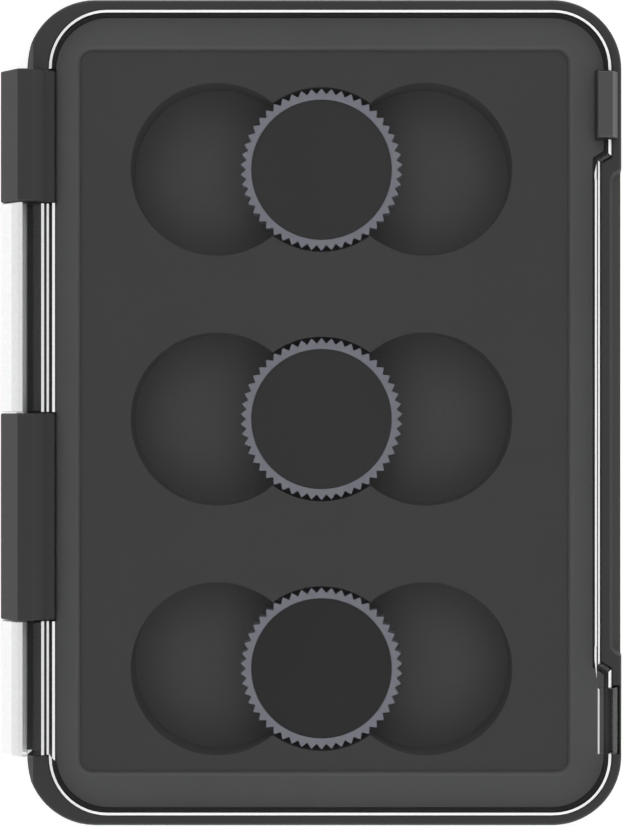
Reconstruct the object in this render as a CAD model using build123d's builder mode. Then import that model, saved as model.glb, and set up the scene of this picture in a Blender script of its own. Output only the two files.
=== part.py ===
"""Hinged storage case for three round, knurled optical cells.

An opaque base half, a clear lid half on a pin hinge, a moulded tray with a raised
sealing deck, a die-cut foam insert with finger scoops, and three glass cells.

Frame: +X from the hinge to the front edge, +Y along the hinge, +Z up.
The origin is the centre of the bottom of the closed case's bounding box.
All sizes are millimetres.
"""

import os
from math import cos, pi, sin

from build123d import *

os.makedirs("parts", exist_ok=True)

# ---------------------------------------------------------------- driving sizes
case_width = 112.6  # outer body, hinge side to front
case_length = 156.1  # outer body, along the hinge
case_corner = 13.1
wall_draft = 0.8  # how much narrower the foot of the body is, each side
foot_round = 1.2
rim_round = 0.5
rim_inner_round = 0.2

# Heights, from the table up
base_floor = 1.8
tray_floor_top = 3.1
pocket_floor = 4.3
pad_top = 12.3
deck_top = 13.2
lid_underside = 13.4
rim_top = 14.6
lid_top = 15.6
tab_top = 16.6

# Margins, measured inwards from the outer body
lid_margin = 2.07
lid_margin_hinge = 4.42
deck_margin = 3.2
deck_margin_hinge = 5.54
gap_at_lid = 0.25  # clear space between the lid's edge and the rim
gap_at_tray = 0.08  # slip fit of the tray in the base

# Front edge, where the rim is wider so that a finger gets under the lid
jog_depth = 2.1
jog_length = 97.0
jog_slope = 1.3
recess_length = 92.0
recess_width = 2.35
recess_depth = 1.3
recess_round = 1.0

# Lid
lid_edge_chamfer = 0.62
skirt_thickness = 0.9
skirt_inset = 0.12
lip_inset = 1.05
lip_width = 0.8
lip_rise = 0.45
lip_end_gap = 2.0  # how much shorter than the recess, at each end
seal_height = 1.0
seal_seat = 11.2  # floor of the groove that the seal lies in
seal_width = 1.15
seal_inset = -0.15  # of its outer edge, from the lid's edge

# Snap tabs, one on each half, mirrored about the middle of the front edge
tab_length = 12.4
tab_offset = 58.0  # from the middle of the case, along the hinge direction
tab_inner = 4.75  # margins of the tab's top face and foot
tab_shoulder = 2.05
tab_foot = 0.7
tab_root = 2.95  # margin of the inner face below the lid
tab_gap = 0.32
tab_round = 0.25
tab_bottom = 12.8
socket_floor = 12.5

# Hinge
hinge_overhang = 0.95  # how far the pin's axis stands outside the body
hinge_height = lid_underside
barrel_radius = 3.9
barrel_clearance = 0.3
shoulder_height = 3.75  # flat top of a knuckle, above the pin's axis
shoulder_reach = 2.85  # where that flat ends, from the pin's axis
shoulder_foot = 4.75  # where its slope meets the arm
shoulder_round = 0.35
facet_start = 0.15  # upper end of the outer slope, from the axis outwards
facet_foot = 0.4  # its lower end, above the axis
knuckle_chamfer = 0.2
pin_radius = 1.0
pin_clearance = 0.05
pin_end_inset = 1.0
pin_chamfer = 0.25
knuckle_gap = 0.25
arm_reach = 6.4  # from the pin's axis, inwards
arm_rise = 1.6
arm_drop = 0.15  # how far the base's arm goes down past the axis
arm_clearance = 0.6  # around the lid's arm, in the base's rim
web_reach = 4.8  # of the wall that joins the base's barrels to the body
web_drop = 3.9
rail_overhang = 1.4  # of the rail under the barrels, outside the body
rail_round = 0.35
lid_notch_reach = 6.75
knuckle_lengths = [25.1, 39.6, 39.2, 25.5]  # base, lid, base, lid, from +Y down
hinge_edge_cut = 1.4  # bevel along the hinge side of the rim

# Insert
well_width = 92.52
well_length = 136.82
well_corner = 2.2
well_shift = (0.1, 0.3)
deck_edge_round = 1.2
tray_skin = 1.2
pad_gap = 0.05

# Cells
cell_pitch = 47.45
cell_shift = (-0.44, -1.21)  # of the middle cell, from the middle of the case
pocket_radius = 15.65
scoop_radius = 16.43
scoop_offset = 19.8
tooth_count = 50
tooth_tip = 15.5
tooth_root = 14.4
knurl_height = 5.0
cell_height = 7.95
lip_radius = 13.34
lip_height = 0.4
glass_radius = 13.6
glass_thickness = 1.8
glass_chamfer = 0.15
fit_gap = 0.05
thread_radius = 14.25
thread_pitch = 0.6
thread_depth = 0.22
thread_turns = 4
thread_flat = 0.06  # half the width of a thread's crest
thread_start = 0.3  # of the first crest, below the knurl
retainer_inner = 12.9
retainer_height = 1.1
shim_height = 0.2
spanner_slot = 1.2

# ---------------------------------------------------------------- derived places
box_left = hinge_overhang + barrel_radius  # how far the barrel stands proud
mid_x = box_left / 2  # middle of the outer body, from the middle of the box
left_x = mid_x - case_width / 2
right_x = mid_x + case_width / 2
hinge_x = left_x - hinge_overhang
hinge_length = sum(knuckle_lengths)
cell_x = mid_x + cell_shift[0]
cell_bottom = pad_top - cell_height
cell_rows = {
    "upper": cell_shift[1] + cell_pitch,
    "middle": cell_shift[1],
    "lower": cell_shift[1] - cell_pitch,
}
rail_top = hinge_height - barrel_radius - barrel_clearance
bore_radius = glass_radius + fit_gap
front_cut = jog_depth + 3
skirt_drop = lid_underside - seal_seat - seal_height - gap_at_tray


def knuckle_spans():
    """Lowest and highest Y of each knuckle, from +Y down, with who owns it."""
    top = hinge_length / 2
    spans = []
    for index, length in enumerate(knuckle_lengths):
        owner = "base" if index % 2 == 0 else "lid"
        spans.append((owner, top - length, top))
        top -= length
    return spans


def outline(margin, hinge_margin, inset=0.0):
    """The case's plan shape, set in by a margin on three sides and another on the
    hinge side, with the step at the front edge. A further inset shrinks it evenly.
    It is for use in a BuildSketch."""
    width = case_width - margin - hinge_margin - 2 * inset
    length = case_length - 2 * (margin + inset)
    corner = case_corner - margin - inset
    centre = mid_x + (hinge_margin - margin) / 2
    edge = right_x - margin - inset
    half = jog_length / 2 + margin + inset - lid_margin
    with Locations((centre, 0)):
        RectangleRounded(width, length, corner)
    with BuildLine() as front_step:
        Polyline(
            (edge - jog_depth, -half + jog_slope),
            (edge - jog_depth, half - jog_slope),
            (edge, half),
            (edge + front_cut, half),
            (edge + front_cut, -half),
            (edge, -half),
            (edge - jog_depth, -half + jog_slope),
        )
    make_face(front_step.edges(), mode=Mode.SUBTRACT)


def hinge_section(reach, bottom):
    """Section of a knuckle and its arm in the XZ plane: a barrel, round below and
    faceted above, with a flat top, a slope and a flat arm. It is for use in a
    BuildSketch whose plane has its origin on the pin's axis."""
    Circle(barrel_radius)
    with BuildLine() as facet:
        Polyline(
            (-facet_start, shoulder_height),
            (-barrel_radius, facet_foot),
            (-barrel_radius, shoulder_height),
            (-facet_start, shoulder_height),
        )
    make_face(facet.edges(), mode=Mode.SUBTRACT)
    with Locations((0, shoulder_height)):
        Rectangle(2 * barrel_radius, barrel_radius, align=(Align.CENTER, Align.MIN), mode=Mode.SUBTRACT)
    with BuildLine() as arm:
        Polyline(
            (0, bottom),
            (0, shoulder_height),
            (shoulder_reach, shoulder_height),
            (shoulder_foot, arm_rise),
            (reach, arm_rise),
            (reach, bottom),
            (0, bottom),
        )
    make_face(arm.edges())


def hinge_plane(y):
    """A plane across the hinge at y, with X to the front and Y up."""
    return Plane(origin=(hinge_x, y, hinge_height), x_dir=(1, 0, 0), z_dir=(0, -1, 0))


def tab_section(bottom):
    """Section of a snap tab: a block over the deck and a narrower root in the rim.
    It is for use in a BuildSketch on a section plane."""
    with BuildLine() as block:
        Polyline(
            (right_x - tab_inner, lid_underside),
            (right_x - tab_inner, tab_top),
            (right_x - tab_shoulder, tab_top),
            (right_x - tab_foot, rim_top),
            (right_x - tab_foot, bottom),
            (right_x - tab_root, bottom),
            (right_x - tab_root, lid_underside),
            (right_x - tab_inner, lid_underside),
        )
    make_face(block.edges())


def section_plane(y):
    """A plane across the case at y, with X to the front and Y up."""
    return Plane(origin=(0, y, 0), x_dir=(1, 0, 0), z_dir=(0, -1, 0))


# ---------------------------------------------------------------- shapes of the halves
knuckles = {}
for half, reach, bottom in (("base", arm_reach, -arm_drop), ("lid", lid_notch_reach, 0)):
    with BuildPart() as knuckle_row:
        for owner, low, high in knuckle_spans():
            if owner == half:
                with BuildSketch(hinge_plane(high - knuckle_gap / 2)):
                    hinge_section(reach, bottom)
                extrude(amount=high - low - knuckle_gap)
        fillet(knuckle_row.edges().filter_by(Axis.Y).group_by(Axis.Z)[-1], radius=shoulder_round)
        chamfer(knuckle_row.faces().filter_by(Axis.Y).edges(), length=knuckle_chamfer)
    knuckles[half] = knuckle_row.part

tabs = {}
for half, tab_y, bottom in (("base", tab_offset, socket_floor), ("lid", -tab_offset, tab_bottom)):
    with BuildPart() as snap_tab:
        with BuildSketch(section_plane(tab_y + tab_length / 2)):
            tab_section(bottom)
        extrude(amount=tab_length)
        fillet(snap_tab.edges().group_by(Axis.Z)[-1], radius=tab_round)
    tabs[half] = snap_tab.part

with BuildPart() as finger_recess:
    with BuildSketch(Plane.XY.offset(rim_top - recess_depth)):
        with Locations((right_x, 0)):
            RectangleRounded(2 * recess_width, recess_length, recess_width - fit_gap)
    extrude(amount=2 * recess_depth)
    fillet(finger_recess.edges().group_by(Axis.Z)[0], radius=recess_round)

# ---------------------------------------------------------------- base half
with BuildPart() as base_shell:
    # Body, drafted towards the table
    with BuildSketch(Plane.XY):
        with Locations((mid_x, 0)):
            RectangleRounded(
                case_width - 2 * wall_draft, case_length - 2 * wall_draft, case_corner - wall_draft
            )
    with BuildSketch(Plane.XY.offset(rim_top)):
        with Locations((mid_x, 0)):
            RectangleRounded(case_width, case_length, case_corner)
    loft()
    fillet(base_shell.edges().group_by(Axis.Z)[0], radius=foot_round)
    fillet(base_shell.edges().group_by(Axis.Z)[-1], radius=rim_round)
    # Bevel along the hinge side, so that the lid can swing past
    with BuildSketch(section_plane(case_length)):
        with BuildLine():
            Polyline(
                (left_x - hinge_edge_cut, rim_top + hinge_edge_cut),
                (left_x + 2 * hinge_edge_cut, rim_top + hinge_edge_cut),
                (left_x, rim_top - hinge_edge_cut),
                (left_x - hinge_edge_cut, rim_top - hinge_edge_cut),
                (left_x - hinge_edge_cut, rim_top + hinge_edge_cut),
            )
        make_face()
    extrude(amount=2 * case_length, mode=Mode.SUBTRACT)
    # Rail along the body, that the barrels are cradled in
    with BuildSketch(Plane.XY.offset(foot_round)):
        with Locations((left_x - rail_overhang, 0)):
            Rectangle(rail_overhang + base_floor, hinge_length, align=(Align.MIN, Align.CENTER))
    extrude(amount=rail_top - foot_round)
    rail_edges = base_shell.edges().filter_by(Axis.Y).sort_by(Axis.X)[0:2]
    fillet(rail_edges, radius=rail_round)
    # Cavity for the tray, and the wider groove above it for the seal and the lid
    with BuildSketch(Plane.XY.offset(base_floor)):
        outline(deck_margin, deck_margin_hinge, inset=-gap_at_tray)
    extrude(amount=rim_top, mode=Mode.SUBTRACT)
    with BuildSketch(Plane.XY.offset(seal_seat)):
        outline(lid_margin, lid_margin_hinge, inset=-gap_at_lid)
    extrude(amount=rim_top, mode=Mode.SUBTRACT)
    rim_face = base_shell.faces().sort_by(Axis.Z)[-1]
    fillet(rim_face.inner_wires()[0].edges(), radius=rim_inner_round)
    # Room for the knuckles and arms of the lid
    for owner, low, high in knuckle_spans():
        if owner == "lid":
            with BuildSketch(hinge_plane(high + knuckle_gap / 2)):
                Circle(barrel_radius + barrel_clearance)
                with Locations((0, -barrel_clearance)):
                    Rectangle(
                        arm_reach + arm_clearance, barrel_radius, align=(Align.MIN, Align.MIN)
                    )
            extrude(amount=high - low + knuckle_gap, mode=Mode.SUBTRACT)
    # Knuckles and arms of the base, with the web that carries them
    add(knuckles["base"])
    for owner, low, high in knuckle_spans():
        if owner == "base":
            with BuildSketch(hinge_plane(high - knuckle_gap / 2 - knuckle_chamfer)):
                Rectangle(web_reach, web_drop, align=(Align.MIN, Align.MAX))
            extrude(amount=high - low - knuckle_gap - 2 * knuckle_chamfer)
    # Bore for the pin
    with BuildSketch(hinge_plane(case_length / 2)):
        Circle(pin_radius + pin_clearance)
    extrude(amount=case_length, mode=Mode.SUBTRACT)
    add(tabs["base"])
    # Socket for the clear tab
    with Locations((right_x - tab_foot + tab_gap, -tab_offset, socket_floor)):
        Box(
            tab_inner,
            tab_length + 2 * tab_gap,
            rim_top,
            align=(Align.MAX, Align.CENTER, Align.MIN),
            mode=Mode.SUBTRACT,
        )
    add(finger_recess.part, mode=Mode.SUBTRACT)
base_shell.part.label = "base_shell"
export_step(base_shell.part, "parts/base_shell.step")

# ---------------------------------------------------------------- lid half
with BuildPart() as lid_shell:
    with BuildSketch(Plane.XY.offset(lid_underside)):
        outline(lid_margin, lid_margin_hinge)
    extrude(amount=lid_top - lid_underside)
    chamfer(lid_shell.faces().sort_by(Axis.Z)[-1].edges(), length=lid_edge_chamfer)
    # Locating skirt that bears on the seal
    with BuildSketch(Plane.XY.offset(lid_underside)):
        outline(lid_margin, lid_margin_hinge, inset=skirt_inset)
    extrude(amount=-skirt_drop)
    with BuildSketch(Plane.XY.offset(lid_underside)):
        outline(lid_margin, lid_margin_hinge, inset=skirt_inset + skirt_thickness)
    extrude(amount=-skirt_drop, mode=Mode.SUBTRACT)
    # Raised finger lip along the step
    with BuildSketch(Plane.XY.offset(lid_top)):
        with Locations((right_x - lid_margin - jog_depth - lip_inset, 0)):
            RectangleRounded(lip_width, recess_length - 2 * lip_end_gap, lip_width / 2 - fit_gap)
    extrude(amount=lip_rise)
    # Room for the base's arms
    for owner, low, high in knuckle_spans():
        if owner == "base":
            with Locations((hinge_x, (low + high) / 2, 0)):
                Box(
                    2 * lid_notch_reach,
                    high - low + knuckle_gap,
                    2 * lid_top,
                    mode=Mode.SUBTRACT,
                )
    add(knuckles["lid"])
    with BuildSketch(hinge_plane(case_length / 2)):
        Circle(pin_radius + pin_clearance)
    extrude(amount=case_length, mode=Mode.SUBTRACT)
    # Room for the base's tab, and the clear tab that hangs into its socket
    with Locations((right_x, tab_offset, 0)):
        Box(2 * (tab_inner + tab_gap), tab_length + 2 * tab_gap, 2 * lid_top, mode=Mode.SUBTRACT)
    add(tabs["lid"])
lid_shell.part.label = "lid_shell"
export_step(lid_shell.part, "parts/lid_shell.step")

# ---------------------------------------------------------------- hinge pin
with BuildPart() as hinge_pin:
    pin_length = hinge_length - 2 * pin_end_inset
    with BuildSketch(hinge_plane(pin_length / 2)):
        Circle(pin_radius)
    extrude(amount=pin_length)
    chamfer(hinge_pin.edges(), length=pin_chamfer)
hinge_pin.part.label = "hinge_pin"
export_step(hinge_pin.part, "parts/hinge_pin.step")

# ---------------------------------------------------------------- seal
with BuildPart() as seal_ring:
    with BuildSketch(Plane.XY.offset(seal_seat)):
        outline(lid_margin, lid_margin_hinge, inset=seal_inset)
    extrude(amount=seal_height)
    with BuildSketch(Plane.XY.offset(seal_seat)):
        outline(lid_margin, lid_margin_hinge, inset=seal_inset + seal_width)
    extrude(amount=seal_height, mode=Mode.SUBTRACT)
seal_ring.part.label = "seal_ring"
export_step(seal_ring.part, "parts/seal_ring.step")

# ---------------------------------------------------------------- tray
well_centre = (mid_x + well_shift[0], well_shift[1])
with BuildPart() as insert_tray:
    with BuildSketch(Plane.XY.offset(base_floor)):
        outline(deck_margin, deck_margin_hinge)
    extrude(amount=deck_top - base_floor)
    # Well for the foam, with a soft edge at the deck
    with BuildSketch(Plane.XY.offset(tray_floor_top)):
        with Locations(well_centre):
            RectangleRounded(well_width, well_length, well_corner)
    extrude(amount=deck_top, mode=Mode.SUBTRACT)
    well_edge = insert_tray.faces().sort_by(Axis.Z)[-1].inner_wires()[0].edges()
    fillet(well_edge, radius=deck_edge_round)
    # Hollow under the deck, open to the base's floor
    with BuildSketch(Plane.XY.offset(base_floor)):
        outline(deck_margin, deck_margin_hinge, inset=tray_skin)
        with Locations(well_centre):
            RectangleRounded(
                well_width + 2 * tray_skin,
                well_length + 2 * tray_skin,
                well_corner + tray_skin,
                mode=Mode.SUBTRACT,
            )
    extrude(amount=deck_top - tray_skin - base_floor, mode=Mode.SUBTRACT)
insert_tray.part.label = "insert_tray"
export_step(insert_tray.part, "parts/insert_tray.step")

# ---------------------------------------------------------------- foam insert
with BuildPart() as foam_floor:
    with BuildSketch(Plane.XY.offset(tray_floor_top)):
        with Locations(well_centre):
            RectangleRounded(
                well_width - 2 * pad_gap, well_length - 2 * pad_gap, well_corner - pad_gap
            )
    extrude(amount=pocket_floor - tray_floor_top)
foam_floor.part.label = "foam_floor"
export_step(foam_floor.part, "parts/foam_floor.step")

with BuildPart() as foam_pad:
    with BuildSketch(Plane.XY.offset(pocket_floor)):
        with Locations(well_centre):
            RectangleRounded(
                well_width - 2 * pad_gap, well_length - 2 * pad_gap, well_corner - pad_gap
            )
        for row_y in cell_rows.values():
            with Locations((cell_x, row_y)):
                Circle(pocket_radius, mode=Mode.SUBTRACT)
            with Locations((cell_x - scoop_offset, row_y), (cell_x + scoop_offset, row_y)):
                Circle(scoop_radius, mode=Mode.SUBTRACT)
    extrude(amount=pad_top - pocket_floor)
foam_pad.part.label = "foam_pad"
export_step(foam_pad.part, "parts/foam_pad.step")

# ---------------------------------------------------------------- cells
thread_top = cell_height - knurl_height
retainer_bottom = cell_height - lip_height - glass_thickness - shim_height - retainer_height
glass_bottom = cell_height - lip_height - glass_thickness

for row, row_y in cell_rows.items():
    seat = Plane(origin=(cell_x, row_y, cell_bottom))

    with BuildPart() as cell_ring:
        # Knurl: pointed teeth all round
        with BuildSketch(seat.offset(thread_top)):
            with BuildLine():
                tooth_points = []
                for step in range(2 * tooth_count):
                    radius = tooth_tip if step % 2 == 0 else tooth_root
                    angle = pi * step / tooth_count
                    tooth_points.append((radius * cos(angle), radius * sin(angle)))
                Polyline(*tooth_points, close=True)
            make_face()
        extrude(amount=knurl_height)
        # Male thread, as rings of the right pitch
        with BuildSketch(Plane(seat.origin, x_dir=(1, 0, 0), z_dir=(0, -1, 0))):
            with BuildLine():
                core = thread_radius - thread_depth
                thread_line = [(0, thread_top + fit_gap), (core, thread_top + fit_gap)]
                for turn in range(thread_turns):
                    crest = thread_top - thread_start - turn * thread_pitch
                    thread_line.append((core, crest + thread_pitch / 2))
                    thread_line.append((thread_radius, crest + thread_flat))
                    thread_line.append((thread_radius, crest - thread_flat))
                thread_line.append((core, crest - thread_pitch / 2))
                thread_line.append((core, 0))
                thread_line.append((0, 0))
                Polyline(*thread_line, close=True)
            make_face()
        revolve(axis=Axis((cell_x, row_y, 0), (0, 0, 1)))
        # Bore from below up to the front lip, and the clear aperture
        with BuildSketch(seat):
            Circle(bore_radius)
        extrude(amount=cell_height - lip_height, mode=Mode.SUBTRACT)
        with BuildSketch(seat):
            Circle(lip_radius)
        extrude(amount=cell_height, mode=Mode.SUBTRACT)
    cell_ring.part.label = f"cell_ring_{row}"
    export_step(cell_ring.part, f"parts/cell_ring_{row}.step")

    with BuildPart() as cell_glass:
        with BuildSketch(seat.offset(glass_bottom)):
            Circle(glass_radius)
        extrude(amount=glass_thickness)
        chamfer(cell_glass.edges(), length=glass_chamfer)
    cell_glass.part.label = f"cell_glass_{row}"
    export_step(cell_glass.part, f"parts/cell_glass_{row}.step")

    with BuildPart() as glass_shim:
        with BuildSketch(seat.offset(glass_bottom - shim_height)):
            Circle(glass_radius)
            Circle(retainer_inner, mode=Mode.SUBTRACT)
        extrude(amount=shim_height)
    glass_shim.part.label = f"glass_shim_{row}"
    export_step(glass_shim.part, f"parts/glass_shim_{row}.step")

    with BuildPart() as retainer:
        with BuildSketch(seat.offset(retainer_bottom)):
            Circle(glass_radius)
            Circle(retainer_inner, mode=Mode.SUBTRACT)
        extrude(amount=retainer_height)
        with BuildSketch(seat.offset(retainer_bottom)):
            Rectangle(2 * tooth_tip, spanner_slot)
        extrude(amount=retainer_height / 2, mode=Mode.SUBTRACT)
    retainer.part.label = f"retaining_ring_{row}"
    export_step(retainer.part, f"parts/retaining_ring_{row}.step")
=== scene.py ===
"""Looks of a hinged optical filter case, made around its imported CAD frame."""

import math

import bmesh
import bpy
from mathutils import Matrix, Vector


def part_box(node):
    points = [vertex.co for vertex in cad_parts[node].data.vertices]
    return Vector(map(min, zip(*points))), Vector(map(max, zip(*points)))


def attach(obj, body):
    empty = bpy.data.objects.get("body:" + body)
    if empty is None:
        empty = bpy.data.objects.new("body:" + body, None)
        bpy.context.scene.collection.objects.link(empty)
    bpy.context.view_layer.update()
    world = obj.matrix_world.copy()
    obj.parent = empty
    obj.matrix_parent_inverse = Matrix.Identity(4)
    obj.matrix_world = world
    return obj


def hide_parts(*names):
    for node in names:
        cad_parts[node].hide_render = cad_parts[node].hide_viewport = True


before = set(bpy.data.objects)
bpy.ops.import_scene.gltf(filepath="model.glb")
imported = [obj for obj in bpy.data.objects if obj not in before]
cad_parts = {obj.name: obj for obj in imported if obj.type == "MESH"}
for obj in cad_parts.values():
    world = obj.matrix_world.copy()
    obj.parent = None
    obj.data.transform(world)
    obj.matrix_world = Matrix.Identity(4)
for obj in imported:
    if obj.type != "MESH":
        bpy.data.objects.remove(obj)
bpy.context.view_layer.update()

MM = 0.001
ROWS = ("upper", "middle", "lower")


# ---------------------------------------------------------------- node tools
SOFT_BORDER = 0.3 * MM  # of an area of painted light


class Nodes:
    """A node tree, with short calls for the nodes that repeat."""

    def __init__(self, tree):
        self.tree = tree

    def node(self, kind, **settings):
        made = self.tree.nodes.new(kind)
        for name, value in settings.items():
            setattr(made, name, value)
        return made

    def link(self, source, target):
        self.tree.links.new(source, target)

    def split(self, vector):
        """The X, Y and Z outputs of a vector."""
        made = self.node("ShaderNodeSeparateXYZ")
        self.link(vector, made.inputs[0])
        return made.outputs

    def span(self, value, low, high, to_low=0.0, to_high=1.0, **settings):
        made = self.node("ShaderNodeMapRange", **settings)
        limits = {"From Min": low, "From Max": high, "To Min": to_low, "To Max": to_high}
        for name, number in limits.items():
            made.inputs[name].default_value = number
        self.link(value, made.inputs["Value"])
        return made.outputs["Result"]

    def maths(self, operation, first, second):
        made = self.node("ShaderNodeMath", operation=operation)
        for socket, value in zip(made.inputs, (first, second)):
            if isinstance(value, (int, float)):
                socket.default_value = value
            else:
                self.link(value, socket)
        return made.outputs[0]


class Shader(Nodes):
    """A new material, with short calls for its textures."""

    def __init__(self, name):
        self.material = bpy.data.materials.new(name)
        self.material.use_nodes = True
        super().__init__(self.material.node_tree)
        self.surface = self.tree.nodes["Principled BSDF"]
        self.output = self.tree.nodes["Material Output"]
        self.place = self.node("ShaderNodeTexCoord").outputs["Object"]

    def set(self, **values):
        for name, value in values.items():
            self.surface.inputs[name.replace("_", " ")].default_value = value

    def into(self, source, name):
        self.link(source, self.surface.inputs[name])

    def noise(self, per_mm, detail=3.0, stretch=None, place=None):
        made = self.node("ShaderNodeTexNoise")
        made.inputs["Scale"].default_value = per_mm / MM
        made.inputs["Detail"].default_value = detail
        made.inputs["Roughness"].default_value = 0.55
        start = place or self.place
        if stretch:
            mapping = self.node("ShaderNodeMapping")
            mapping.inputs["Scale"].default_value = stretch
            self.link(start, mapping.inputs["Vector"])
            start = mapping.outputs["Vector"]
        self.link(start, made.inputs["Vector"])
        return made.outputs["Fac"]

    def cells(self, per_mm):
        made = self.node("ShaderNodeTexVoronoi")
        made.inputs["Scale"].default_value = per_mm / MM
        self.link(self.place, made.inputs["Vector"])
        return made.outputs["Distance"]

    def blend(self, factor, first, second):
        """The first colour where the factor is 0, and the second where it is 1."""
        made = self.node("ShaderNodeMix", data_type="RGBA")
        self.link(factor, made.inputs["Factor"])
        for name, value in (("A", first), ("B", second)):
            socket = [s for s in made.inputs if s.name == name and s.type == "RGBA"][0]
            if isinstance(value, tuple):
                socket.default_value = (*value, 1.0)
            else:
                self.link(value, socket)
        return [s for s in made.outputs if s.type == "RGBA"][0]

    def bump(self, height, depth_mm, strength, under=None):
        made = self.node("ShaderNodeBump")
        made.inputs["Distance"].default_value = depth_mm * MM
        made.inputs["Strength"].default_value = strength
        self.link(height, made.inputs["Height"])
        if under:
            self.link(under, made.inputs["Normal"])
        return made.outputs["Normal"]

    def inside(self, low, high):
        """1 within a box given by two corners, and 0 outside it, with a soft border."""
        axes = self.split(self.place)
        result = 1.0
        for axis, start, end in zip("XYZ", low, high):
            past_start = self.span(axes[axis], start, start + SOFT_BORDER)
            before_end = self.span(axes[axis], end, end - SOFT_BORDER)
            within = self.maths("MULTIPLY", past_start, before_end)
            result = self.maths("MULTIPLY", within, result)
        return result

    def mixed(self, factor, first, second):
        """Shows the first shader where the factor is 0, and the second where it is 1."""
        mix = self.node("ShaderNodeMixShader")
        for socket, source in zip(mix.inputs, (factor, first, second)):
            self.link(source, socket)
        self.link(mix.outputs[0], self.output.inputs["Surface"])

    def behind(self):
        """1 where a face is seen from behind."""
        return self.node("ShaderNodeNewGeometry").outputs["Backfacing"]


def times(shade, factor):
    return tuple(channel * factor for channel in shade)


# ---------------------------------------------------------------- materials
def moulded_plastic(name, shade, roughness, grain_mm, painted_light=()):
    """Dark moulded plastic with a fine spark-eroded grain and faint flow clouds. Each
    area of painted light, given as two corners and a factor, is paler by that factor."""
    s = Shader(name)
    s.set(IOR=1.5, Specular_IOR_Level=0.45)
    clouds = s.span(s.noise(0.03, detail=4.0), 0.3, 0.7)
    grain = s.noise(1.0 / grain_mm, detail=2.0)
    colour = s.blend(clouds, times(shade, 0.95), times(shade, 1.05))
    # painted light: each area is made paler, standing in for extra light that falls there
    for low, high, factor in painted_light:
        colour = s.blend(s.inside(low, high), colour, times(shade, factor))
    s.into(colour, "Base Color")
    broad = s.maths("MULTIPLY", clouds, 0.04)
    uneven = s.maths("ADD", broad, s.span(grain, 0.3, 0.7, -0.03, 0.03))
    s.into(s.maths("ADD", uneven, roughness), "Roughness")
    s.into(s.bump(grain, 0.003, 0.35), "Normal")
    return s.material


def cut_foam(name, shade):
    """Closed-cell foam: small open cells at the cut, soft and without shine."""
    s = Shader(name)
    s.set(IOR=1.35, Specular_IOR_Level=0.2)
    bubbles = s.cells(3.2)
    clouds = s.noise(0.04, detail=4.0)
    fine = s.noise(6.0, detail=2.0)
    tone = s.blend(s.span(bubbles, 0.1, 0.6), times(shade, 0.93), times(shade, 1.04))
    s.into(s.blend(s.span(clouds, 0.3, 0.7, 0.0, 0.12), tone, times(shade, 1.3)), "Base Color")
    s.into(s.span(fine, 0.3, 0.7, 0.86, 0.98), "Roughness")
    s.into(s.bump(bubbles, 0.012, 0.35, under=s.bump(fine, 0.006, 0.3)), "Normal")
    return s.material


def turned_metal(name, shade, centre):
    """Anodised aluminium with the fine marks that a lathe leaves around a centre."""
    s = Shader(name)
    s.set(Metallic=0.7, Specular_IOR_Level=0.4)
    shift = s.node("ShaderNodeVectorMath", operation="SUBTRACT")
    s.link(s.place, shift.inputs[0])
    shift.inputs[1].default_value = centre
    axes = s.split(shift.outputs[0])
    flat = s.node("ShaderNodeCombineXYZ")
    s.link(axes["X"], flat.inputs["X"])
    s.link(axes["Y"], flat.inputs["Y"])
    distance = s.node("ShaderNodeVectorMath", operation="LENGTH")
    s.link(flat.outputs[0], distance.inputs[0])
    ring = s.node("ShaderNodeCombineXYZ")
    s.link(distance.outputs["Value"], ring.inputs["X"])
    s.link(axes["Z"], ring.inputs["Y"])
    marks = s.noise(9.0, detail=3.0, place=ring.outputs[0])
    clouds = s.noise(0.25, detail=3.0)
    s.into(s.blend(s.span(marks, 0.3, 0.7), times(shade, 0.95), times(shade, 1.05)), "Base Color")
    broad = s.span(clouds, 0.3, 0.7, -0.04, 0.04)
    s.into(s.maths("ADD", broad, s.span(marks, 0.3, 0.7, 0.38, 0.47)), "Roughness")
    s.into(s.bump(marks, 0.004, 0.4), "Normal")
    return s.material


def coated_glass(name, shade):
    """Nearly black absorbing glass, polished, with a trace of dust."""
    s = Shader(name)
    s.set(IOR=1.5, Specular_IOR_Level=0.4)
    sweep = s.span(s.noise(0.03, detail=1.0), 0.3, 0.7)
    speck = s.span(s.cells(0.7), 0.03, 0.012, 0.0, 0.2)
    tone = s.blend(sweep, times(shade, 0.94), times(shade, 1.06))
    s.into(s.blend(speck, tone, (0.12, 0.12, 0.12)), "Base Color")
    s.into(s.span(s.noise(0.12, detail=4.0), 0.35, 0.7, 0.05, 0.1), "Roughness")
    return s.material


def clear_plastic(name):
    """Clear polished polycarbonate: it lets light through, less of it at a slant, and
    shines a little on its outer side."""
    s = Shader(name)
    s.tree.nodes.remove(s.surface)
    slant = s.node("ShaderNodeLayerWeight")
    slant.inputs["Blend"].default_value = 0.5
    steep = s.maths("POWER", slant.outputs["Facing"], 2.0)
    through = s.node("ShaderNodeBsdfTransparent")
    s.link(s.blend(steep, (0.97, 0.97, 0.97), (0.4, 0.42, 0.43)), through.inputs["Color"])
    shine = s.node("ShaderNodeBsdfGlossy")
    smears = s.noise(0.05, detail=3.0, stretch=(1.0, 0.3, 1.0))
    s.link(s.span(smears, 0.3, 0.7, 0.03, 0.07), shine.inputs["Roughness"])
    fresnel = s.node("ShaderNodeFresnel")
    fresnel.inputs["IOR"].default_value = 1.45
    outer = s.maths("SUBTRACT", 1.0, s.behind())
    shining = s.maths("MULTIPLY", s.maths("MINIMUM", fresnel.outputs[0], 0.3), outer)
    s.mixed(shining, through.outputs[0], shine.outputs[0])
    return s.material


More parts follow.
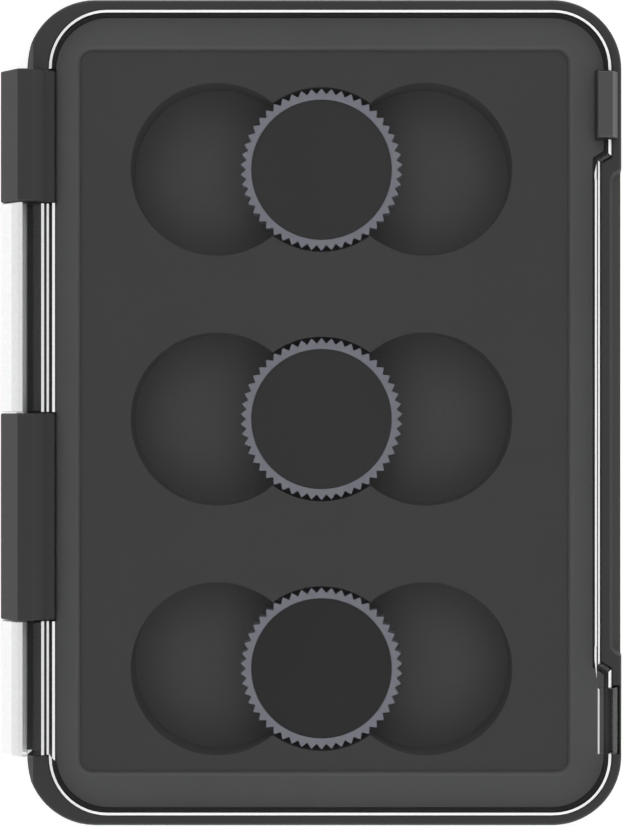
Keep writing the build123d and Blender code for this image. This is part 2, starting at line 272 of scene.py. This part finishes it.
def painted_highlight(name, shade, solid):
    """A cut or bevelled edge of the clear plastic, painted white as a painted highlight: the white
    stands in for the light that the clear plastic catches and for the bright floor seen through
    its barrels. How solid it looks goes from 0, clear, to 1."""
    s = Shader(name)
    s.set(Roughness=0.25, IOR=1.5)
    streaks = s.noise(1.6, detail=3.0)
    s.into(s.blend(s.span(streaks, 0.3, 0.7), times(shade, 0.97), times(shade, 1.0)), "Base Color")
    s.into(s.span(streaks, 0.3, 0.7, solid - 0.03, solid + 0.02), "Alpha")
    return s.material


def rubber(name, shade):
    """Matt elastomer or nylon, with a fine uneven skin."""
    s = Shader(name)
    s.set(IOR=1.45, Specular_IOR_Level=0.3)
    fine = s.noise(3.0, detail=3.0)
    s.into(s.blend(s.span(fine, 0.3, 0.7), times(shade, 0.85), times(shade, 1.15)), "Base Color")
    s.into(s.span(fine, 0.3, 0.7, 0.6, 0.75), "Roughness")
    s.into(s.bump(fine, 0.01, 0.4), "Normal")
    return s.material


def milky_nylon(name):
    """Natural nylon rod: milky, half see-through, with fine lines along its length."""
    s = Shader(name)
    s.set(IOR=1.53, Roughness=0.35)
    streaks = s.noise(5.0, detail=2.0, stretch=(1.0, 0.03, 1.0))
    s.into(s.blend(s.span(streaks, 0.3, 0.7), (0.78, 0.79, 0.8), (0.84, 0.85, 0.85)), "Base Color")
    s.into(s.span(streaks, 0.3, 0.7, 0.3, 0.38), "Alpha")
    s.into(s.bump(streaks, 0.004, 0.4), "Normal")
    return s.material


def floor_paper(name):
    """White paper, clear from below so that it doesn't hide the underside of the case."""
    s = Shader(name)
    s.set(Roughness=0.9, Specular_IOR_Level=0.1, Emission_Strength=0.35)
    s.surface.inputs["Emission Color"].default_value = (1.0, 1.0, 1.0, 1.0)
    fibre = s.noise(0.6, detail=3.0)
    s.into(s.blend(s.span(fibre, 0.3, 0.7), (0.95, 0.95, 0.95), (0.97, 0.97, 0.97)), "Base Color")
    clear = s.node("ShaderNodeBsdfTransparent")
    s.mixed(s.behind(), s.surface.outputs[0], clear.outputs[0])
    return s.material


# ---------------------------------------------------------------- mesh tools
WELD = 0.001 * MM  # points nearer than this are one
LEVEL = 0.01 * MM  # heights nearer than this are equal


def dress(node, material):
    """Gives a CAD node's object its material, in every slot."""
    for slot in bpy.data.objects[node].material_slots:
        slot.material = material


def centre_of(node):
    low, high = (Vector(corner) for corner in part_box(node))
    return (low + high) / 2


def piece_from(bm, name, body, replaced, materials, sharp_angle=35.0):
    """Turns a bmesh into a finished piece that rides on a body and stands for a node."""
    mesh = bpy.data.meshes.new(name)
    bmesh.ops.recalc_face_normals(bm, faces=bm.faces)
    bm.to_mesh(mesh)
    bm.free()
    if "custom_normal" in mesh.attributes:
        mesh.attributes.remove(mesh.attributes["custom_normal"])
    mesh.shade_smooth()
    mesh.set_sharp_from_angle(angle=math.radians(sharp_angle))
    for material in materials:
        mesh.materials.append(material)
    piece = bpy.data.objects.new(name, mesh)
    bpy.context.scene.collection.objects.link(piece)
    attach(piece, body)
    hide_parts(*replaced)
    return piece


def copy_of(node):
    """A bmesh of a CAD node, with its seams joined."""
    bm = bmesh.new()
    bm.from_mesh(bpy.data.objects[node].data)
    bmesh.ops.remove_doubles(bm, verts=bm.verts, dist=WELD)
    return bm


# ---------------------------------------------------------------- camera, first
CAMERA_HEIGHT = 0.333  # above the face of the cells
VIEW_LENGTH = 0.1571  # along Y, at the face of the cells
SENSOR = 24.0
SHIFT_ACROSS = -0.0127
SHIFT_ALONG = 0.0073

middle = centre_of("cell_ring_middle")
face_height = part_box("cell_ring_middle")[1][2]
camera_data = bpy.data.cameras.new("camera")
camera_data.sensor_fit = "VERTICAL"
camera_data.sensor_height = SENSOR
camera_data.lens = SENSOR * CAMERA_HEIGHT / VIEW_LENGTH
camera_data.shift_x = SHIFT_ACROSS
camera_data.shift_y = SHIFT_ALONG
camera = bpy.data.objects.new("camera", camera_data)
camera.location = (middle.x, middle.y, face_height + CAMERA_HEIGHT)
bpy.context.scene.collection.objects.link(camera)
bpy.context.scene.camera = camera

# ---------------------------------------------------------------- clear lid
LID_MARGIN = 2.07 * MM  # from the front of the base to the lid's edge
STEP_DEPTH = 2.1 * MM  # of the step in the lid's front edge
STEP_HALF = 48.5 * MM  # half the step's length
WHITE_END = 1.5 * MM  # the barrel is painted white beyond this, outwards from the pin's axis, standing in for the bright floor seen through it
PALE_END = 0.75 * MM  # and gets a painted pale highlight from there to this far inwards
HINGE_ZONE = 6.7 * MM  # from the pin's axis to past the end of the lid's arms
TAB_MIDDLE = -58.0 * MM
TAB_HALF = 6.25 * MM
TAB_INNER = 4.75 * MM  # from the front of the base to the tab's inner side
STEP_BAND = 2.2 * MM  # from the step's edge inwards, where only the strips are bright
STEP_CORNER = 1.3 * MM  # from the step's edge inwards, where only the strips are painted highlights
RIM_RISE = 1.2 * MM  # from the pin's axis up to the rim of the base
PLATE_RISE = 2.2 * MM  # from the pin's axis up to the top of the lid's plate
ROOM = 1.0 * MM  # past the ends of the barrel, and past the tab's inner side
LOOKS_UP = 0.2  # least Z of the normal of a face that can be seen from above
LOOKS_INWARDS = 0.3  # least part of the normal of the tab's inner side
SLANTS = 0.2  # least Y of the normal at the slanting ends of the step
BEVEL_LEAST, BEVEL_MOST = 0.3, 0.95  # Z of the normal of a bevel, neither wall nor level
# Strips of painted highlight across a lid knuckle, in mm from the pin's axis towards the front
HINGE_STRIPS = ((4.06, 4.52), (4.95, 5.4), (6.1, 6.62))
# Strips of painted highlight along the step of the front edge, in mm from the edge inwards
STEP_STRIPS = ((0.04, 0.43), (0.73, 1.12))

# slots of the lid: clear plastic, a painted white highlight and a painted pale highlight
CLEAR, PAINTED_HIGHLIGHT, PAINTED_PALE = 0, 1, 2

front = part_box("base_shell")[1][0]
pin_low, pin_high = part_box("hinge_pin")
pin_x = (pin_low[0] + pin_high[0]) / 2
axis_z = (pin_low[2] + pin_high[2]) / 2
rim_top = axis_z + RIM_RISE
plate_top = axis_z + PLATE_RISE
step_edge = front - LID_MARGIN - STEP_DEPTH


def in_strips(distance, strips):
    return any(low <= distance / MM <= high for low, high in strips)


def lid_clear_or_highlight(face):
    """Whether a face of the lid is clear or gets a painted highlight, from where it lies and where
    it looks.
    """
    centre = face.calc_center_median()
    normal = face.normal
    along_step = abs(centre.y) < STEP_HALF
    if centre.x < pin_x + HINGE_ZONE and abs(centre.y) < pin_high.y + ROOM:
        strip = normal.z > LOOKS_UP and in_strips(centre.x - pin_x, HINGE_STRIPS)
        if strip or centre.x < pin_x - WHITE_END:
            return PAINTED_HIGHLIGHT
        if centre.x < pin_x + PALE_END and normal.z > 0:
            return PAINTED_PALE
        return CLEAR
    if abs(centre.y - TAB_MIDDLE) < TAB_HALF and centre.x > front - TAB_INNER - ROOM:
        # the tab's inner side gets a painted highlight
        inner_side = normal.x < -LOOKS_INWARDS and centre.z > plate_top - LEVEL
        return PAINTED_HIGHLIGHT if inner_side else CLEAR
    if along_step and centre.x > step_edge - STEP_BAND and normal.z > LOOKS_UP:
        straight = abs(centre.y) < STEP_HALF - STEP_CORNER
        return PAINTED_HIGHLIGHT if straight and in_strips(step_edge - centre.x, STEP_STRIPS) else CLEAR
    # the lid's bevels above the rim get a painted highlight, except the slanting ends of the step
    if BEVEL_LEAST < normal.z < BEVEL_MOST and centre.z > rim_top:
        slanting = along_step and abs(normal.y) > SLANTS
        return CLEAR if slanting else PAINTED_HIGHLIGHT
    return CLEAR


def cut_across(bm, x):
    """Adds an edge across every face that passes this X, so that a painted highlight can end
    there.
    """
    everything = [*bm.verts, *bm.edges, *bm.faces]
    bmesh.ops.bisect_plane(bm, geom=everything, plane_co=(x, 0, 0), plane_no=(1, 0, 0))


def clear_lid():
    """The clear lid: its CAD shape, with edges and strips painted white and pale as highlights."""
    bm = copy_of("lid_shell")
    for strip in HINGE_STRIPS:
        for distance in strip:
            cut_across(bm, pin_x + distance * MM)
    for x in (pin_x - WHITE_END, pin_x + PALE_END):
        cut_across(bm, x)
    for strip in STEP_STRIPS:
        for distance in strip:
            cut_across(bm, step_edge - distance * MM)
    bm.normal_update()
    for face in bm.faces:
        face.material_index = lid_clear_or_highlight(face)
    # clear plastic, then the white and the pale painted highlights
    clear_and_painted_highlights = [
        clear_plastic("clear_plastic"),
        painted_highlight("painted_highlight", (0.97, 0.975, 0.98), 0.97),
        painted_highlight("painted_pale_highlight", (0.83, 0.83, 0.84), 0.93),
    ]
    piece_from(bm, "clear_lid", "lid", ["lid_shell"], clear_and_painted_highlights, 30.0)


clear_lid()

# ---------------------------------------------------------------- knurled rings
CELL_METAL = (0.37, 0.37, 0.434)
TOOTH_COUNT = 50
STEPS_PER_TOOTH = 8
TOOTH_TIP, TOOTH_ROOT = 0.96, 0.06  # where a tooth is cut off, as parts of its height
TOOTH_DEPTH = 1.1 * MM
BORE = 13.65 * MM
LIP_RADIUS = 13.34 * MM
LIP_HEIGHT = 0.4 * MM
KNURL_HEIGHT = 5.0 * MM
THREAD_RADIUS = 14.25 * MM
THREAD_DEPTH = 0.22 * MM
THREAD_PITCH = 0.6 * MM
THREAD_ROWS = 30  # of points, down the thread
BREAK = 0.14 * MM  # of the sharp edges


def tooth_radius(step, tip):
    """Radius of the knurl at an angular step: pointed teeth, with a blunt tip and root."""
    phase = (step % STEPS_PER_TOOTH) / STEPS_PER_TOOTH
    height = abs(2 * phase - 1)
    return tip - TOOTH_DEPTH * (1 - min(TOOTH_TIP, max(TOOTH_ROOT, height)))


def thread_radius(step, steps, z):
    """Radius of the thread, which climbs one pitch in a turn."""
    phase = (z / THREAD_PITCH + step / steps) % 1.0
    return THREAD_RADIUS - THREAD_DEPTH * abs(2 * phase - 1)


def knurled_ring(row):
    """A cell's ring: one section, swept round in steps that follow knurl and thread."""
    low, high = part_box(f"cell_ring_{row}")
    centre = (low + high) / 2
    tip = (high.x - low.x) / 2
    foot = high.z - KNURL_HEIGHT
    steps = TOOTH_COUNT * STEPS_PER_TOOTH
    core = THREAD_RADIUS - THREAD_DEPTH

    def section(step):
        tooth = tooth_radius(step, tip)
        points = [
            (LIP_RADIUS + BREAK, high.z),
            (tip - TOOTH_DEPTH - BREAK, high.z),
            (tooth - BREAK, high.z),
            (tooth, high.z - BREAK),
            (tooth, foot + BREAK),
            (tooth - BREAK, foot),
            (core, foot),
        ]
        for count in range(THREAD_ROWS):
            z = foot - BREAK - (foot - low.z - 3 * BREAK) * count / (THREAD_ROWS - 1)
            points.append((thread_radius(step, steps, z), z))
        points += [
            (core - BREAK, low.z),
            (BORE, low.z),
            (BORE, high.z - LIP_HEIGHT),
            (LIP_RADIUS, high.z - LIP_HEIGHT),
            (LIP_RADIUS, high.z - BREAK),
        ]
        return points

    bm = bmesh.new()
    columns = []
    for step in range(steps):
        turn = 2 * math.pi * (step / STEPS_PER_TOOTH + 0.5) / TOOTH_COUNT
        columns.append(
            [
                bm.verts.new((centre.x + r * math.cos(turn), centre.y + r * math.sin(turn), z))
                for r, z in section(step)
            ]
        )
    for index, column in enumerate(columns):
        following = columns[(index + 1) % steps]
        for place in range(len(column)):
            above = (place + 1) % len(column)
            bm.faces.new((column[place], following[place], following[above], column[above]))
    metal = turned_metal(f"cell_metal_{row}", CELL_METAL, centre)
    piece_from(
        bm, f"knurled_ring_{row}", f"cell_{row}", [f"cell_ring_{row}"], [metal]
    )


for row in ROWS:
    knurled_ring(row)

# ---------------------------------------------------------------- foam insert
TOP_FOAM = (0.071, 0.071, 0.071)
# the pockets' floor is the same foam, painted paler to offset the shade deep in the pockets
BOTTOM_FOAM = (0.095, 0.095, 0.095)
SOFT_EDGE = 0.12 * MM  # rounding of a cut edge
SNUG = 0.07 * MM  # how far the springy sheet spreads at its outside, to touch the tray
BORDER = 0.5 * MM  # how near its box an edge of the sheet counts as its outside
CORNER = 6 * BORDER  # and how near a corner of the box as its rounded corner


def is_cut_edge(edge, low, high):
    """Whether an edge is on the top face, around a cut-out and not around the sheet."""
    if any(vert.co.z < high.z - LEVEL for vert in edge.verts):
        return False
    return all(
        low[axis] + BORDER < vert.co[axis] < high[axis] - BORDER
        for vert in edge.verts
        for axis in (0, 1)
    ) and not all(near_corner(vert.co, low, high) for vert in edge.verts)


def near_corner(point, low, high):
    return all(
        min(point[axis] - low[axis], high[axis] - point[axis]) < CORNER for axis in (0, 1)
    )


def soft_sheet(name, node, foam):
    """A die-cut foam sheet: its CAD shape, with the edges of the cut-outs rounded."""
    low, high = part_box(node)
    bm = copy_of(node)
    bmesh.ops.dissolve_limit(
        bm, angle_limit=math.radians(0.5), verts=bm.verts, edges=bm.edges, delimit={"NORMAL"}
    )
    rim = [edge for edge in bm.edges if is_cut_edge(edge, low, high)]
    if rim:
        bmesh.ops.bevel(
            bm,
            geom=rim,
            offset=SOFT_EDGE,
            segments=3,
            profile=0.5,
            affect="EDGES",
            clamp_overlap=True,
        )
    bmesh.ops.triangulate(bm, faces=[f for f in bm.faces if len(f.verts) > 4])
    middle_x, middle_y = (low.x + high.x) / 2, (low.y + high.y) / 2
    for vert in bm.verts:
        vert.co.x += SNUG * (vert.co.x - middle_x) / (high.x - middle_x)
        vert.co.y += SNUG * (vert.co.y - middle_y) / (high.y - middle_y)
    piece = piece_from(bm, name, "base", [node], [foam])


soft_sheet("foam_top_sheet", "foam_pad", cut_foam("foam", TOP_FOAM))
# painted light: the pocket floors are paler than the top foam
soft_sheet("foam_bottom_sheet", "foam_floor", cut_foam("foam_floor_painted_light", BOTTOM_FOAM))

# ---------------------------------------------------------------- dress the CAD nodes
CASE_GREY = (0.0295, 0.0295, 0.0296)
TRAY_GREY = (0.101, 0.101, 0.1013)
SEAL_BLACK = (0.07, 0.07, 0.07)
SHIM_BLACK = (0.02, 0.02, 0.02)
RETAINER_BLACK = (0.03, 0.03, 0.032)
GLASS_SHADES = {"upper": 0.039, "middle": 0.039, "lower": 0.027}
FAR = 1.0  # past every side of the case
RECESS_WIDTH = 2.6 * MM  # this and the next three reach a little past the finger recess
RECESS_HALF = 46.3 * MM
RECESS_LOW = 1.6 * MM  # below the rim
RECESS_HIGH = 0.3 * MM
# painted light: the snap tab and the finger recess are made paler by these factors, standing in
# for the extra light they catch
PALER_TAB = 2.2
PALER_RECESS = 1.7
tab_painted_light = ((0.0, -FAR, rim_top), (FAR, FAR, FAR), PALER_TAB)  # above the rim, in front: painted light on the snap tab
# painted light on the floor of the finger recess
recess_painted_light = (
    (front - RECESS_WIDTH, -RECESS_HALF, rim_top - RECESS_LOW),
    (FAR, RECESS_HALF, rim_top - RECESS_HIGH),
    PALER_RECESS,
)
painted_light_areas = (tab_painted_light, recess_painted_light)

dress("base_shell", moulded_plastic("case_plastic", CASE_GREY, 0.42, 0.16, painted_light_areas))
dress("insert_tray", moulded_plastic("tray_plastic", TRAY_GREY, 0.36, 0.12))
dress("hinge_pin", milky_nylon("pin_nylon"))
dress("seal_ring", rubber("seal_rubber", SEAL_BLACK))
black_nylon = rubber("shim_plastic", SHIM_BLACK)
for row in ROWS:
    shade = GLASS_SHADES[row]
    dress(f"cell_glass_{row}", coated_glass(f"cell_glass_{row}", (shade, shade, shade * 1.01)))
    dress(f"glass_shim_{row}", black_nylon)
    retainer = f"retaining_ring_{row}"
    dress(retainer, turned_metal(f"retainer_metal_{row}", RETAINER_BLACK, centre_of(retainer)))

# ---------------------------------------------------------------- floor and light
FLOOR_SIZE = 4.0
FLOOR_DROP = 0.05 * MM  # so that the floor and the underside aren't in one plane
CEILING = 0.5  # brightness straight overhead, where the studio is darker
WALLS = 1.5  # brightness of the soft walls
CEILING_START = math.radians(16)  # from straight up
CEILING_END = math.radians(42)
SIDE_WALLS = 0.55  # factor for the walls beyond the sides of the case
END_WALLS = 1.3  # and for those beyond its ends, which are brighter

bpy.ops.mesh.primitive_plane_add(size=FLOOR_SIZE, location=(0, 0, -FLOOR_DROP))
floor = bpy.context.object
floor.name = "floor"
floor.data.materials.append(floor_paper("floor_paper"))

world = bpy.data.worlds.new("studio")
bpy.context.scene.world = world
world.use_nodes = True
sky = Nodes(world.node_tree)
direction = sky.split(sky.node("ShaderNodeTexCoord").outputs["Generated"])
overhead = sky.span(
    direction["Z"],
    math.cos(CEILING_END),
    math.cos(CEILING_START),
    WALLS,
    CEILING,
    interpolation_type="SMOOTHSTEP",
)
towards_ends = sky.maths("MULTIPLY", direction["Y"], direction["Y"])
around = sky.span(towards_ends, 0.0, 1.0, SIDE_WALLS, END_WALLS)
background = world.node_tree.nodes["Background"]
background.inputs["Color"].default_value = (1.0, 1.0, 1.0, 1.0)
sky.link(sky.maths("MULTIPLY", overhead, around), background.inputs["Strength"])
bpy.context.scene.view_settings.view_transform = "Standard"
